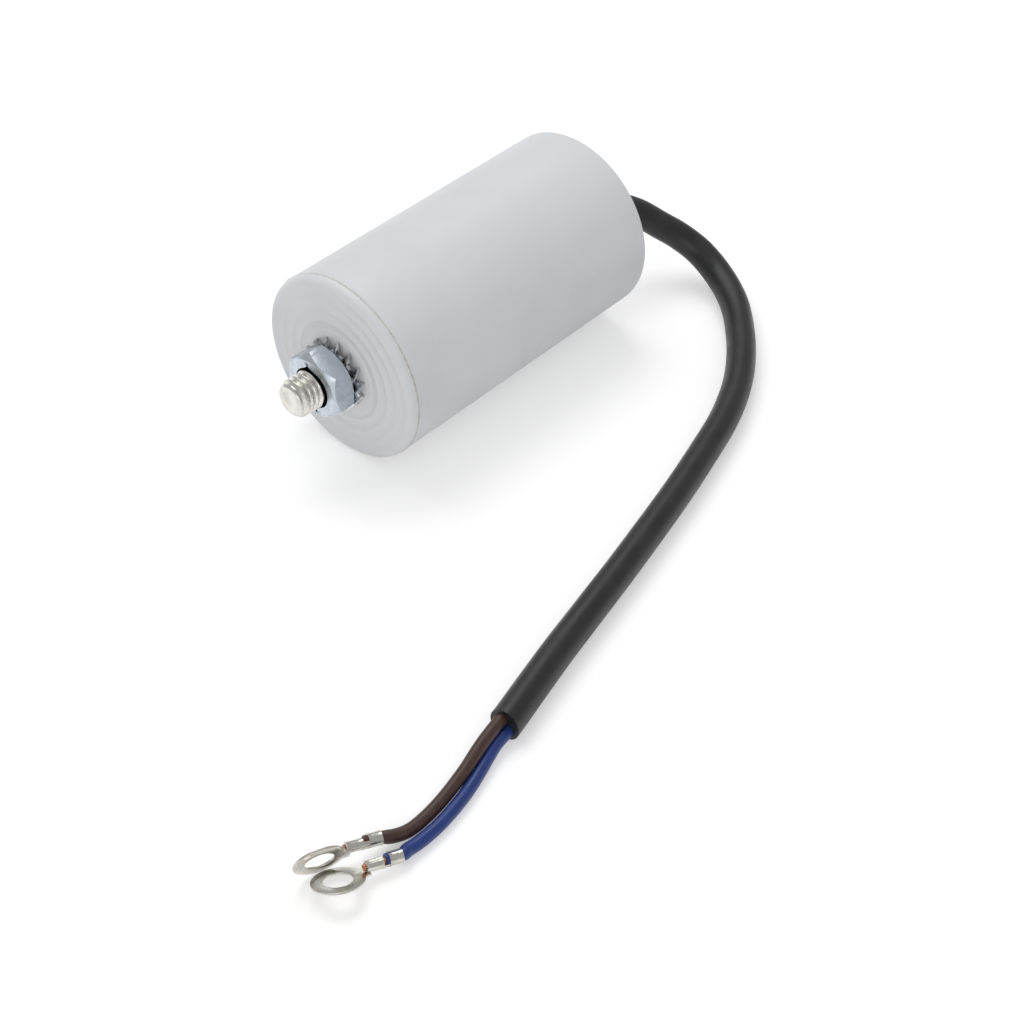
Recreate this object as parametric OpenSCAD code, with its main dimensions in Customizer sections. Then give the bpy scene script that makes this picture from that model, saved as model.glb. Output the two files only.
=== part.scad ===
// Motor run capacitor in a round plastic case, lying on its side.
// One end has a threaded stud with a nut and a serrated lock washer. A two-core lead leaves the
// other end, comes round the case and ends in two crimped ring terminals.
// X runs along the case towards the lead, Z is up and the case rests on z = 0.

/* [Case] */
// Outer diameter of the case
case_d = 40; // [36:0.5:45]
// Length of the case, from the crests of its end rings to its rim
case_len = 70; // [64:1:100]
// Thickness of the round wall
case_wall = 1.4; // [1:0.1:2]
// Thickness of the closed end
end_wall = 3; // [2.5:0.1:4]
// Radius of the rounded edge of the closed end
end_round = 1.7; // [0.5:0.1:2]
// Diameter of the outermost ring crest on the closed end
ring_outer_d = 36.4; // [34:0.1:36.4]
// Distance from one ring crest to the next
ring_pitch = 2.5; // [2:0.1:3]
// Number of hollow rings
ring_count = 3; // [1:1:3]
// Depth of the hollow rings
ring_depth = 0.3; // [0.1:0.05:0.5]
// Diameter of the flat boss under the lock washer
seat_d = 18; // [16:0.5:20]
// Diameter of the inner boss that holds the head of the stud
insert_boss_d = 20; // [17:0.5:22]
// Plastic behind the head of the stud
insert_cover = 1.5; // [1:0.1:3]

/* [Stud and fasteners] */
// Thread diameter of the stud
stud_d = 8; // [6:0.5:10]
// Pitch of the thread
thread_pitch = 1.25; // [1:0.25:1.5]
// Length of the stud outside the case
stud_out = 12.8; // [11:0.1:20]
// Length of the chamfer at the tip of the stud
stud_chamfer = 1; // [0.5:0.1:1.5]
// Diameter of the flat tip of the stud
stud_tip_d = 6.3; // [4:0.1:7]
// Width across flats of the moulded-in stud head
stud_head_af = 13; // [11:0.5:14]
// Thickness of the moulded-in stud head
stud_head_h = 4; // [2:0.1:5]
// How deep the stud head starts below the end face
stud_head_depth = 2.5; // [1.5:0.1:4]
// Width across flats of the nut
nut_af = 13; // [13:0.5:16]
// Thickness of the nut
nut_h = 5; // [4:0.1:6.5]
// Diameter of the washer face left by the chamfer on the front of the nut
nut_face_d = 12.4; // [11:0.1:12.8]
// Slope of the front chamfer of the nut, in degrees
nut_chamfer_angle = 42; // [25:1:45]
// Turn of the nut about the stud, in degrees
nut_turn = 52; // [0:1:60]
// Play between the nut and the thread that it is on
nut_play = 0.05; // [0.02:0.01:0.2]
// Width of the countersink at each end of the nut's hole, beyond the thread
nut_sink = 0.35; // [0.1:0.05:0.6]
// Outer diameter of the lock washer over its teeth
washer_d = 15; // [14:0.1:18]
// Play between the hole of the lock washer and the stud
washer_play = 0.2; // [0.1:0.05:0.4]
// Sheet thickness of the lock washer
washer_t = 0.8; // [0.6:0.1:1]
// Radial width of the flat ring of the lock washer
washer_ring_w = 1.5; // [1.2:0.1:1.8]
// Number of twisted teeth
tooth_count = 14; // [8:1:14]
// Width of a tooth at its tip
tooth_w = 2.3; // [1.5:0.1:2.6]
// Twist of a tooth about its own length, in degrees
tooth_twist = 45; // [20:1:50]
// Turn of the lock washer about the stud, in degrees
washer_turn = 11; // [0:1:25]

/* [Inside] */
// Gap between the roll and the case wall, filled with resin
roll_gap = 1; // [0.5:0.1:3]
// Length of the film roll
roll_len = 43; // [30:1:44]
// Distance from the closed end to the metal layer on the roll
roll_start = 13; // [12:0.5:15]
// Thickness of the sprayed metal layers
spray_t = 0.6; // [0.3:0.1:1]
// Outer diameter of the winding tube
core_tube_d = 9; // [8.5:0.5:11]
// Wall thickness of the winding tube
core_tube_wall = 0.8; // [0.5:0.1:1]
// Distance of the solder joints from the axis of the roll
joint_reach = 9; // [7:0.5:12]
// Diameter of a solder joint
joint_d = 4; // [3:0.5:5]
// Height of a solder joint
joint_h = 1.5; // [1:0.1:2]
// Thickness of the closing lid
lid_t = 3; // [2:0.1:4]
// How far the lid lies below the rim of the case
lid_inset = 1; // [0.5:0.1:2]
// Length of the collar that stands beyond the rim
collar_out = 4.4; // [3:0.1:10]
// Diameter of the collar at its root
collar_root_d = 13; // [10:0.5:16]
// Diameter of the collar at its mouth
collar_mouth_d = 9; // [8:0.5:10]

/* [Lead] */
// Diameter of the sheath
sheath_d = 6.2; // [6:0.1:7]
// Wall thickness of the sheath
sheath_wall = 0.55; // [0.4:0.05:0.6]
// Diameter of an insulated core
core_d = 2.4; // [2:0.1:2.4]
// Diameter of the bunched copper in a core
copper_d = 1.1; // [0.8:0.1:1.2]
// Gap between the copper and its insulation
copper_play = 0.1; // [0.05:0.05:0.2]

/* [Ring terminals] */
// Outer diameter of the ring
ring_d = 9; // [8:0.1:10]
// Diameter of the eye
eye_d = 5; // [4.3:0.1:5.3]
// Sheet thickness
sheet_t = 0.4; // [0.3:0.05:0.5]
// Width of the neck between the ring and the barrel
neck_w = 2.3; // [1.8:0.1:3]
// Distance from the eye to the near end of the copper barrel
copper_barrel_at = 4.9; // [4.5:0.1:6]
// Length of the copper barrel
copper_barrel_len = 2.9; // [2:0.1:4]
// Outer diameter of the copper barrel
copper_barrel_d = 2.3; // [2:0.1:3]
// Length of the open stretch between the two barrels
window_len = 1; // [0.6:0.1:1.5]
// Length of the insulation barrel
grip_len = 2.4; // [2:0.1:3]
// Outer diameter of the insulation barrel
grip_d = 2.8; // [2.6:0.1:3.2]
// Wall of the closed barrels
barrel_wall = 0.35; // [0.25:0.05:0.4]
// Width of the open seam along the top of the insulation barrel
seam_w = 0.9; // [0.4:0.1:1.5]

/* [Hidden] */

$fn = 64;
OVER = 1;          // how far a cutting body passes the face that it cuts
MELT = 0.05;       // how far two parts of one solid run into each other
WAY_OVER = 0.5;    // how far a way passes each bend, in radii
way_play = 0.08;   // play of a core or its copper in the resin

// Colours
PLASTIC_WHITE = [0.88, 0.89, 0.90];
LID_WHITE = [0.82, 0.83, 0.84];
STEEL = [0.72, 0.72, 0.70];
ZINC = [0.66, 0.68, 0.72];
TIN = [0.78, 0.78, 0.76];
RESIN = [0.75, 0.66, 0.45];
FILM = [0.80, 0.82, 0.86];
SPRAY = [0.60, 0.61, 0.62];
TUBE_GREY = [0.55, 0.57, 0.60];
BLACK = [0.08, 0.08, 0.09];
BROWN = [0.24, 0.15, 0.12];
BLUE = [0.10, 0.18, 0.42];
COPPER = [0.80, 0.48, 0.30];

// Along the axis of the case, measured from the ring crests on the closed end
case_r = case_d / 2;
bore_r = case_r - case_wall;
face_depth = 0.2;
stud_r = stud_d / 2;
thread_mid_r = stud_r - 0.65 * thread_pitch / 2;    // pitch radius, where nut and thread meet
head_start = stud_head_depth;
head_end = head_start + stud_head_h;
insert_end = head_end + insert_cover;
washer_h = tooth_w * sin(tooth_twist) + washer_t * cos(tooth_twist);
washer_mid = -washer_h / 2;
nut_back = -washer_h;
nut_front = nut_back - nut_h;
roll_r = bore_r - roll_gap;
core_tube_r = core_tube_d / 2;
film_start = roll_start + spray_t;
film_end = film_start + roll_len;
spray_end = film_end + spray_t;
lid_top = case_len - lid_inset;
lid_back = lid_top - lid_t;
collar_end = case_len + collar_out;

// Hollow rings: each is cut by a ring whose round section gives the depth and the pitch
groove_r = (pow(ring_pitch / 2, 2) + pow(ring_depth, 2)) / (2 * ring_depth);
ring_inner_r = ring_outer_d / 2 - ring_count * ring_pitch;

// The row is centred over its own footprint, without the lead
mid_x = (collar_end - stud_out) / 2;
axis_z = case_r;

// ---- Lead ----
sheath_start = lid_back - 1.2;  // the sheath begins in the resin
sheath_r = sheath_d / 2;
core_r = core_d / 2;
copper_r = copper_d / 2;
copper_bore_r = copper_r + copper_play;
core_gap = 0.08;                // between the two cores
core_step = core_r + core_gap / 2;
core_lay = 55;                  // angle of the pair across the sheath, in degrees
floor_z = sheath_r;             // the sheath lies on the floor at this height

// Route of the sheath from inside the potting, out of the collar and round the case
SHEATH_ROUTE = [
    [sheath_start - mid_x, 0, axis_z], [collar_end + 1 - mid_x, 0, axis_z], [49, -1.5, 19.3], [54.5, -5, 16.5], [58.2, -9, 13],
    [61, -12.5, 10.2], [62.4, -17.5, 7.4], [61.2, -24, 4.8], [57.2, -31, 3.5],
    [50.3, -38, floor_z], [42, -44.5, floor_z], [33.5, -49.5, floor_z], [24, -53.5, floor_z],
    [14, -56.5, floor_z], [1.5, -59.9, floor_z], [-12, -63.1, floor_z],
    [-24, -65.8, floor_z], [-35, -68.1, floor_z], [-46, -70.4, floor_z],
    [-57.5, -73.1, floor_z], [-62.8, -74.4, floor_z], [-65.6, -75, floor_z]
];

// Where each core runs free between the sheath and its terminal
BROWN_FREE = [
    [-70.4, -75.1, 3.8], [-73.2, -75.6, 3.2], [-76.3, -76.3, 2.6], [-80.4, -77, 2],
    [-84.2, -77.5, 1.6], [-87.9, -77.8, 1.5], [-91.6, -77.8, 1.7], [-94.3, -77, 2.1]
];
BLUE_FREE = [
    [-69, -76.2, 2], [-72, -77, 1.6], [-75.5, -78.1, 1.4], [-79.9, -79.3, 1.3],
    [-84.3, -80.1, 1.3], [-88.2, -80.5, 1.3], [-92.3, -80.5, 1.4], [-94.6, -80.3, 1.6]
];

// Each terminal: where its eye is, and its turns about X, Y and Z
BROWN_EYE = [-107, -72.9, 4.5];
BROWN_TURN = [-74, 11.5, -21.5];
BLUE_EYE = [-106.8, -76.8, 2.4];
BLUE_TURN = [-25.5, 7.5, -22];

// Along a terminal, measured from its eye
grip_at = copper_barrel_at + copper_barrel_len + window_len;
grip_end = grip_at + grip_len;
copper_axis_z = copper_barrel_d / 2 - sheet_t / 2;
grip_axis_z = grip_d / 2 - sheet_t / 2;
copper_hole_r = copper_barrel_d / 2 - barrel_wall;
grip_hole_r = grip_d / 2 - barrel_wall;
copper_tip_at = copper_barrel_at - 0.4;       // the strands show this far past their barrel
insulation_tip_at = grip_at - window_len / 2; // the insulation ends in the open stretch

function unit(v) = v / norm(v);
function about_x(p, a) = [p.x, p.y * cos(a) - p.z * sin(a), p.y * sin(a) + p.z * cos(a)];
function about_y(p, a) = [p.x * cos(a) + p.z * sin(a), p.y, p.z * cos(a) - p.x * sin(a)];
function about_z(p, a) = [p.x * cos(a) - p.y * sin(a), p.x * sin(a) + p.y * cos(a), p.z];
function placed(p, eye, turn) = eye + about_z(about_y(about_x(p, turn.x), turn.y), turn.z);

// Direction of a route at one of its points
function heading(route, i) = unit(route[min(i + 1, len(route) - 1)] - route[max(i - 1, 0)]);
function sideways(t) = unit(cross([0, 0, 1], t));

// Centre of a core inside the sheath: sign is 1 for the brown core and -1 for the blue one
function core_in_sheath(sign) = [
    for (i = [0:len(SHEATH_ROUTE) - 1])
        let (
            t = heading(SHEATH_ROUTE, i),
            s = sideways(t),
            u = cross(t, s)
        )
        SHEATH_ROUTE[i] + sign * core_step * (u * sin(core_lay) - s * cos(core_lay))
];

// Ends of the cores in the case: brown goes down the winding tube, blue to the near layer
function from_face(x) = x - mid_x;
brown_side = core_step * [0, -cos(core_lay), sin(core_lay)];
blue_side = -brown_side;
BROWN_START = [for (x = [roll_start, 34, 57]) [from_face(x), 0, axis_z] + brown_side];
BROWN_BARE = [
    [from_face(roll_start - joint_h / 2), -joint_reach, axis_z],
    [from_face(roll_start - joint_h / 2), -3, axis_z + 0.5],
    [from_face(roll_start - joint_h / 3), brown_side.y - 0.7, axis_z + brown_side.z]
];
BLUE_START = [
    [from_face(spray_end + joint_h + 1.2), joint_reach - 2.6, axis_z - 1],
    [from_face(spray_end + joint_h + 2.6), 3.4, axis_z - 1]
];
BLUE_BARE = [
    [from_face(spray_end + joint_h / 3), joint_reach, axis_z - 1],
    [from_face(spray_end + joint_h + 0.3), joint_reach - 1.2, axis_z - 1]
];

BROWN_ROUTE = concat(
    BROWN_START, core_in_sheath(1), BROWN_FREE,
    [for (x = [grip_end, insulation_tip_at]) placed([x, 0, grip_axis_z], BROWN_EYE, BROWN_TURN)]
);
BLUE_ROUTE = concat(
    BLUE_START, core_in_sheath(-1), BLUE_FREE,
    [for (x = [grip_end, insulation_tip_at]) placed([x, 0, grip_axis_z], BLUE_EYE, BLUE_TURN)]
);
BROWN_COPPER = concat(BROWN_BARE, BROWN_ROUTE, [
    for (x = [copper_barrel_at + copper_barrel_len, copper_tip_at])
        placed([x, 0, copper_axis_z], BROWN_EYE, BROWN_TURN)
]);
BLUE_COPPER = concat(BLUE_BARE, BLUE_ROUTE, [
    for (x = [copper_barrel_at + copper_barrel_len, copper_tip_at])
        placed([x, 0, copper_axis_z], BLUE_EYE, BLUE_TURN)
]);

// One ring of points round each point of a route, whose last two rings may be squeezed
function ring_points(route, r, sides, squeezed_r) = [
    for (i = [0:len(route) - 1])
        let (
            t = heading(route, i),
            s = sideways(t),
            u = cross(t, s),
            here = i < len(route) - 2 ? r : squeezed_r
        )
        for (k = [0:sides - 1])
            route[i] + here * (s * cos(360 * k / sides) + u * sin(360 * k / sides))
];

// Triangles between the rings from first to last of a skin; inward turns them round
function skin_faces(rings, sides, base, inward) = [
    for (i = [0:rings - 2])
        for (k = [0:sides - 1])
            let (
                a = base + i * sides + k,
                b = base + i * sides + (k + 1) % sides,
                c = b + sides,
                d = a + sides
            )
            each inward ? [[c, b, a], [d, c, a]] : [[a, b, c], [a, c, d]]
];

// A solid rod along a route
module rod(route, r, sides) {
    rings = len(route);
    last = (rings - 1) * sides;
    polyhedron(
        points = ring_points(route, r, sides, r),
        faces = concat(
            skin_faces(rings, sides, 0, false),
            [[for (k = [sides - 1:-1:0]) k], [for (k = [0:sides - 1]) last + k]]
        )
    );
}

// A tube along a route, squeezed over its last stretch
module tube(route, outer_r, inner_r, squeezed_r, sides) {
    rings = len(route);
    inner = rings * sides;
    last = (rings - 1) * sides;
    polyhedron(
        points = concat(
            ring_points(route, outer_r, sides, squeezed_r),
            ring_points(route, inner_r, sides, inner_r)
        ),
        faces = concat(
            skin_faces(rings, sides, 0, false),
            skin_faces(rings, sides, inner, true),
            [for (k = [0:sides - 1])
                let (n = (k + 1) % sides)
                each [[n, k, inner + k], [n, inner + k, inner + n]]],
            [for (k = [0:sides - 1])
                let (n = (k + 1) % sides)
                each [
                    [last + k, last + n, inner + last + n],
                    [last + k, inner + last + n, inner + last + k]
                ]]
        )
    );
}

// Children are modelled along +Z from the closed end and laid down with their axis along X
module along_case() {
    translate([-mid_x, 0, axis_z]) rotate([0, 90, 0]) children();
}

// Disc or rod of the case, from one distance to another
module span(r, from, to) {
    translate([0, 0, from]) cylinder(r = r, h = to - from);
}

// ---- Case ----
// Half section of the cup, with the rounded edge of its closed end
module cup_section() {
    difference() {
        square([case_r, case_len]);
        translate([case_r - end_round, 0]) difference() {
            translate([0, -OVER]) square([end_round + OVER, end_round + OVER]);
            translate([0, end_round]) circle(r = end_round);
        }
        translate([-OVER, end_wall]) square([bore_r + OVER, case_len]);
        translate([seat_d / 2, -OVER]) square([ring_inner_r - seat_d / 2, OVER + face_depth]);
        for (i = [0:ring_count - 1])
            translate([ring_inner_r + (i + 0.5) * ring_pitch, ring_depth - groove_r])
                circle(r = groove_r);
    }
}

module case() {
    color(PLASTIC_WHITE) along_case() difference() {
        union() {
            rotate_extrude() cup_section();
            span(insert_boss_d / 2, end_wall - MELT, insert_end);
        }
        stud_shape();
    }
}

module lid() {
    color(LID_WHITE) along_case() difference() {
        union() {
            span(bore_r, lid_back, lid_top);
            translate([0, 0, lid_top - MELT])
                cylinder(d1 = collar_root_d, d2 = collar_mouth_d, h = collar_end - lid_top + MELT);
        }
        span(sheath_r, lid_back - OVER, collar_end + OVER);
    }
}

// ---- Stud, nut and lock washer ----
// The thread is a plain cylinder of its outer radius, and of its pitch radius inside the nut
module stud_shape() {
    translate([0, 0, -stud_out]) cylinder(r1 = stud_tip_d / 2, r2 = stud_r, h = stud_chamfer);
    span(stud_r, stud_chamfer - stud_out, nut_front);
    span(thread_mid_r, nut_front - MELT, nut_back + MELT);
    span(stud_r, nut_back, head_end);
    translate([0, 0, head_start])
        cylinder(r = stud_head_af / 2 / cos(30), h = stud_head_h, $fn = 6);
}

module stud() {
    color(STEEL) along_case() stud_shape();
}

module nut() {
    hole_r = thread_mid_r + nut_play;
    mouth_r = stud_r + nut_sink;
    corner_r = nut_af / 2 / cos(30);
    back_face_r = nut_af / 2 - 0.2;
    slope = tan(nut_chamfer_angle);
    sink = mouth_r - hole_r;
    color(ZINC) along_case() difference() {
        intersection() {
            rotate([0, 0, nut_turn]) translate([0, 0, nut_front])
                cylinder(r = corner_r, h = nut_h, $fn = 6);
            translate([0, 0, nut_front])
                cylinder(r1 = nut_face_d / 2, r2 = nut_face_d / 2 + nut_h / slope, h = nut_h);
            translate([0, 0, nut_front])
                cylinder(r1 = back_face_r + nut_h / tan(30), r2 = back_face_r, h = nut_h);
        }
        span(hole_r, nut_front - OVER, nut_back + OVER);
        translate([0, 0, nut_front - MELT])
            cylinder(r1 = mouth_r + MELT, r2 = hole_r, h = sink + MELT);
        translate([0, 0, nut_back - sink])
            cylinder(r1 = hole_r, r2 = mouth_r + MELT, h = sink + MELT);
    }
}

// One tooth of the lock washer: a neck that starts to turn and a tip that is fully turned
module washer_tooth(ring_r) {
    neck_end = (ring_r + washer_d / 2) / 2;
    root_w = tooth_w * 0.8;
    rotate([tooth_twist / 2, 0, 0])
        translate([ring_r - 0.4, -root_w / 2, -washer_t / 2])
            cube([neck_end - ring_r + 0.6, root_w, washer_t]);
    intersection() {
        rotate([tooth_twist, 0, 0])
            translate([neck_end - 0.4, -tooth_w / 2, -washer_t / 2])
                cube([washer_d / 2 - neck_end + OVER, tooth_w, washer_t]);
        translate([0, 0, -washer_h]) cylinder(d = washer_d, h = 2 * washer_h);
    }
}

module lock_washer() {
    hole_r = stud_r + washer_play;
    ring_r = hole_r + washer_ring_w;
    color(ZINC) along_case() translate([0, 0, washer_mid]) rotate([0, 0, washer_turn])
        difference() {
            union() {
                translate([0, 0, -washer_t / 2]) cylinder(r = ring_r, h = washer_t);
                for (i = [0:tooth_count - 1]) rotate([0, 0, 360 / tooth_count * i])
                    washer_tooth(ring_r);
            }
            translate([0, 0, -washer_h]) cylinder(r = hole_r, h = 2 * washer_h);
        }
}

// ---- Inside ----
module winding() {
    color(FILM) along_case() difference() {
        span(roll_r, film_start, film_end);
        span(core_tube_r, film_start - OVER, film_end + OVER);
    }
}

module winding_core() {
    color(TUBE_GREY) along_case() difference() {
        span(core_tube_r, film_start, film_end);
        span(core_tube_r - core_tube_wall, film_start - OVER, film_end + OVER);
    }
}

module spray_layer(from) {
    color(SPRAY) along_case() difference() {
        span(roll_r, from, from + spray_t);
        span(core_tube_r, from - OVER, from + spray_t + OVER);
    }
}

// A dome of solder on a layer, pierced by the copper that it holds
module solder_dome() {
    dome_r = (pow(joint_d / 2, 2) + pow(joint_h, 2)) / (2 * joint_h);
    intersection() {
        translate([0, 0, joint_h - dome_r]) sphere(r = dome_r);
        cylinder(d = joint_d + OVER, h = joint_h + OVER);
    }
}

// The straight ways that a core or its copper takes through a piece, each a little longer than
// its own stretch so that they meet at the bends
module ways(route, r) {
    for (i = [0:len(route) - 2])
        let (
            run = route[i + 1] - route[i],
            over = r * WAY_OVER,
            turn = [0, acos(run.z / norm(run)), atan2(run.y, run.x)]
        )
            translate(route[i] - over * unit(run)) rotate(turn)
                cylinder(r = r + way_play, h = norm(run) + 2 * over);
}

module solder_joint_brown() {
    color(TIN) difference() {
        translate([from_face(roll_start), -joint_reach, axis_z]) rotate([0, -90, 0]) solder_dome();
        ways([BROWN_BARE[0], BROWN_BARE[1]], copper_r);
    }
}

module solder_joint_blue() {
    color(TIN) difference() {
        translate([from_face(spray_end), joint_reach, axis_z - 1]) rotate([0, 90, 0]) solder_dome();
        ways([BLUE_BARE[0], BLUE_BARE[1]], copper_r);
    }
}

module potting() {
    color(RESIN) difference() {
        along_case() difference() {
            span(bore_r, end_wall, lid_back);
            span(insert_boss_d / 2, end_wall - OVER, insert_end);
            span(roll_r, roll_start, spray_end);
            span(sheath_r, sheath_start, lid_back + OVER);
        }
        ways([for (i = [0:2]) BROWN_COPPER[i], BROWN_ROUTE[0]], copper_r);
        ways([for (i = [0:1]) BLUE_COPPER[i], BLUE_ROUTE[0]], copper_r);
        ways([BROWN_ROUTE[2], BROWN_ROUTE[3]], core_r);
        ways([BLUE_ROUTE[0], BLUE_ROUTE[1], BLUE_ROUTE[2]], core_r);
        translate([from_face(roll_start), -joint_reach, axis_z]) rotate([0, -90, 0]) solder_dome();
        translate([from_face(spray_end), joint_reach, axis_z - 1]) rotate([0, 90, 0]) solder_dome();
    }
}

// ---- Lead ----
module lead_sheath() {
    color(BLACK) tube(SHEATH_ROUTE, sheath_r, sheath_r - sheath_wall, sheath_r, 12);
}

module wire(route) {
    tube(route, core_r, copper_bore_r, grip_hole_r, 8);
}

module conductor(route) {
    rod(route, copper_r, 8);
}

// ---- Ring terminals ----
// A round barrel of sheet along X, from one distance to another
module barrel(from, to, d, hole_r) {
    translate([from, 0, d / 2 - sheet_t / 2]) rotate([0, 90, 0]) difference() {
        cylinder(d = d, h = to - from);
        translate([0, 0, -OVER]) cylinder(r = hole_r, h = to - from + 2 * OVER);
    }
}

module ring_terminal(eye, turn) {
    copper_end = copper_barrel_at + copper_barrel_len;
    window_h = copper_barrel_d * 0.45;
    color(TIN) translate(eye) rotate(turn) {
        difference() {
            union() {
                translate([0, 0, -sheet_t / 2]) cylinder(d = ring_d, h = sheet_t);
                translate([eye_d / 2 + MELT, -neck_w / 2, -sheet_t / 2])
                    cube([copper_barrel_at - eye_d / 2 + MELT, neck_w, sheet_t]);
            }
            translate([0, 0, -OVER]) cylinder(d = eye_d, h = 2 * OVER);
        }
        difference() {
            union() {
                barrel(copper_barrel_at, copper_end, copper_barrel_d, copper_hole_r);
                barrel(grip_at, grip_end, grip_d, grip_hole_r);
                intersection() {
                    barrel(copper_end - MELT, grip_at + MELT, grip_d, grip_hole_r);
                    translate([copper_end - OVER, -grip_d, -sheet_t])
                        cube([window_len + 2 * OVER, 2 * grip_d, window_h + sheet_t / 2]);
                }
            }
            translate([grip_at - MELT, -seam_w / 2, grip_axis_z])
                cube([grip_len + OVER, seam_w, grip_d]);
        }
    }
}

case();
stud();
lock_washer();
nut();
lid();
potting();
winding();
winding_core();
spray_layer(roll_start);  // spray_layer_far
spray_layer(film_end);  // spray_layer_near
solder_joint_brown();
solder_joint_blue();
lead_sheath();
color(BROWN) wire(BROWN_ROUTE);  // wire_brown
color(BLUE) wire(BLUE_ROUTE);  // wire_blue
color(COPPER) conductor(BROWN_COPPER);  // conductor_brown
color(COPPER) conductor(BLUE_COPPER);  // conductor_blue
ring_terminal(BROWN_EYE, BROWN_TURN);  // ring_terminal_brown
ring_terminal(BLUE_EYE, BLUE_TURN);  // ring_terminal_blue
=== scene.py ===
# %% [markdown]
# # Motor run capacitor
# A white plastic can lies on its side. A plated stud with a nut and a serrated lock washer stands
# out of one end, and a black two-core lead leaves the other end, comes round the can and ends in
# two crimped ring terminals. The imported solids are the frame: every piece made here takes its
# place from them, and this file adds what a camera sees, which is thread, teeth, crimps and finish.

from math import asin, atan2, cos, exp, pi, radians, sin, sqrt, tan

import bmesh
import bpy
from mathutils import Euler, Matrix, Vector, noise


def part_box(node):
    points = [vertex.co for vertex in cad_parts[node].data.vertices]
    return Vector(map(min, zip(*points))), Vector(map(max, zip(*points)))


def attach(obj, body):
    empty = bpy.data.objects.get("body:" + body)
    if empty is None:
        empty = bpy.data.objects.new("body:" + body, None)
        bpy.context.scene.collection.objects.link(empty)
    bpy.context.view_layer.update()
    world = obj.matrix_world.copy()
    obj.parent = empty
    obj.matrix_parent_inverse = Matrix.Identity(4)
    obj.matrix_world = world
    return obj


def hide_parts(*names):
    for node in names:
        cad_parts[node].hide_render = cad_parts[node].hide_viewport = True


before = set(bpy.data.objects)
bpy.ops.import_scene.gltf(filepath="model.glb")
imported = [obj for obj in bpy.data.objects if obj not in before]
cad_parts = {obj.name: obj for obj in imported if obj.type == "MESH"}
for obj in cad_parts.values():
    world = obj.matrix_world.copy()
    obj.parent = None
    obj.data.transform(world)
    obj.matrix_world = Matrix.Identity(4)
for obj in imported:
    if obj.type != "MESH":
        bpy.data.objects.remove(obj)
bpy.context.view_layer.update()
MM = 0.001
print("frame loaded, nodes:", len(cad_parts))

# %% [markdown]
# ## Where things are
# Everything along the can is measured from its closed end, so this cell works that out once from
# the solids. `at_end` turns a distance along the axis, a radius and an angle into a point.

# %% Places taken from the frame
case_low, case_high = (Vector(corner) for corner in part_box("case"))
case_r = (case_high.z - case_low.z) / 2
end_x = case_low.x
axis_z = case_r
collar_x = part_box("lid")[1][0]
stud_tip_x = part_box("stud")[0][0]
nut_front_x, nut_back_x = (corner[0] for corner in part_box("nut"))


def at_end(x, r, angle):
    """A point x behind the closed end's face, at radius r; angle 0 is up, 90 is towards -Y."""
    return Vector((end_x + x, -r * sin(angle), axis_z + r * cos(angle)))


print("closed end at", round(end_x / MM, 2), "mm, collar ends at", round(collar_x / MM, 2), "mm")

# %% [markdown]
# ## Camera
# The view looks down on the stud end from the left. A long lens keeps the can's sides nearly
# parallel. The three numbers of the view are turned into a place by going back along the line of
# sight from a point between the can and the lead.

# %% Camera
VIEW_AZIMUTH = radians(-47.9)
VIEW_ELEVATION = radians(42.9)
VIEW_DISTANCE = 389 * MM
VIEW_ANGLE = radians(30.15)
LOOK_AT = Vector((4.2, 0, 20)) * MM
LOOK_RIGHT = 10.3 * MM
LOOK_UP = -45.2 * MM

view_right = Vector((cos(VIEW_AZIMUTH), sin(VIEW_AZIMUTH), 0))
view_back = Vector((
    sin(VIEW_AZIMUTH) * cos(VIEW_ELEVATION),
    -cos(VIEW_AZIMUTH) * cos(VIEW_ELEVATION),
    sin(VIEW_ELEVATION),
))
view_up = view_back.cross(view_right)
camera = bpy.data.objects.new("camera", bpy.data.cameras.new("camera"))
bpy.context.collection.objects.link(camera)
camera.data.angle = VIEW_ANGLE
camera.location = LOOK_AT + VIEW_DISTANCE * view_back + LOOK_RIGHT * view_right + LOOK_UP * view_up
camera.matrix_world = Matrix.Translation(camera.location) @ Matrix(
    (view_right, view_up, view_back)
).transposed().to_4x4()
camera.data.clip_start = 10 * MM
bpy.context.scene.camera = camera
print("camera", [round(v, 3) for v in camera.location])

# %% [markdown]
# ## Shader groups
# Three effects are used again and again: a fine grain for moulded surfaces, slow blotches that
# vary a colour, and thin scratches on plated steel. Each is a group with named inputs, so that a
# material says how strong and how large the effect is, and the group hides the wiring.

# %% Helpers for shader groups
def new_group(name, inputs, outputs):
    """A shader group with sockets given as {name: default}; a tuple default is a colour."""
    group = bpy.data.node_groups.new(name, "ShaderNodeTree")
    for label, value in inputs.items():
        kind = "NodeSocketColor" if isinstance(value, tuple) else "NodeSocketFloat"
        socket = group.interface.new_socket(label, in_out="INPUT", socket_type=kind)
        socket.default_value = value
    for label, kind in outputs.items():
        group.interface.new_socket(label, in_out="OUTPUT", socket_type=kind)
    return group, group.nodes.new("NodeGroupInput"), group.nodes.new("NodeGroupOutput")


def add(tree, kind, **values):
    """A node with some of its inputs or settings filled in."""
    node = tree.nodes.new(kind)
    for label, value in values.items():
        name = label.replace("_", " ")
        if hasattr(node, label):
            setattr(node, label, value)
        else:
            node.inputs[name].default_value = value
    return node


def join(tree, *links):
    for start, end in links:
        tree.links.new(start, end)


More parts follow.
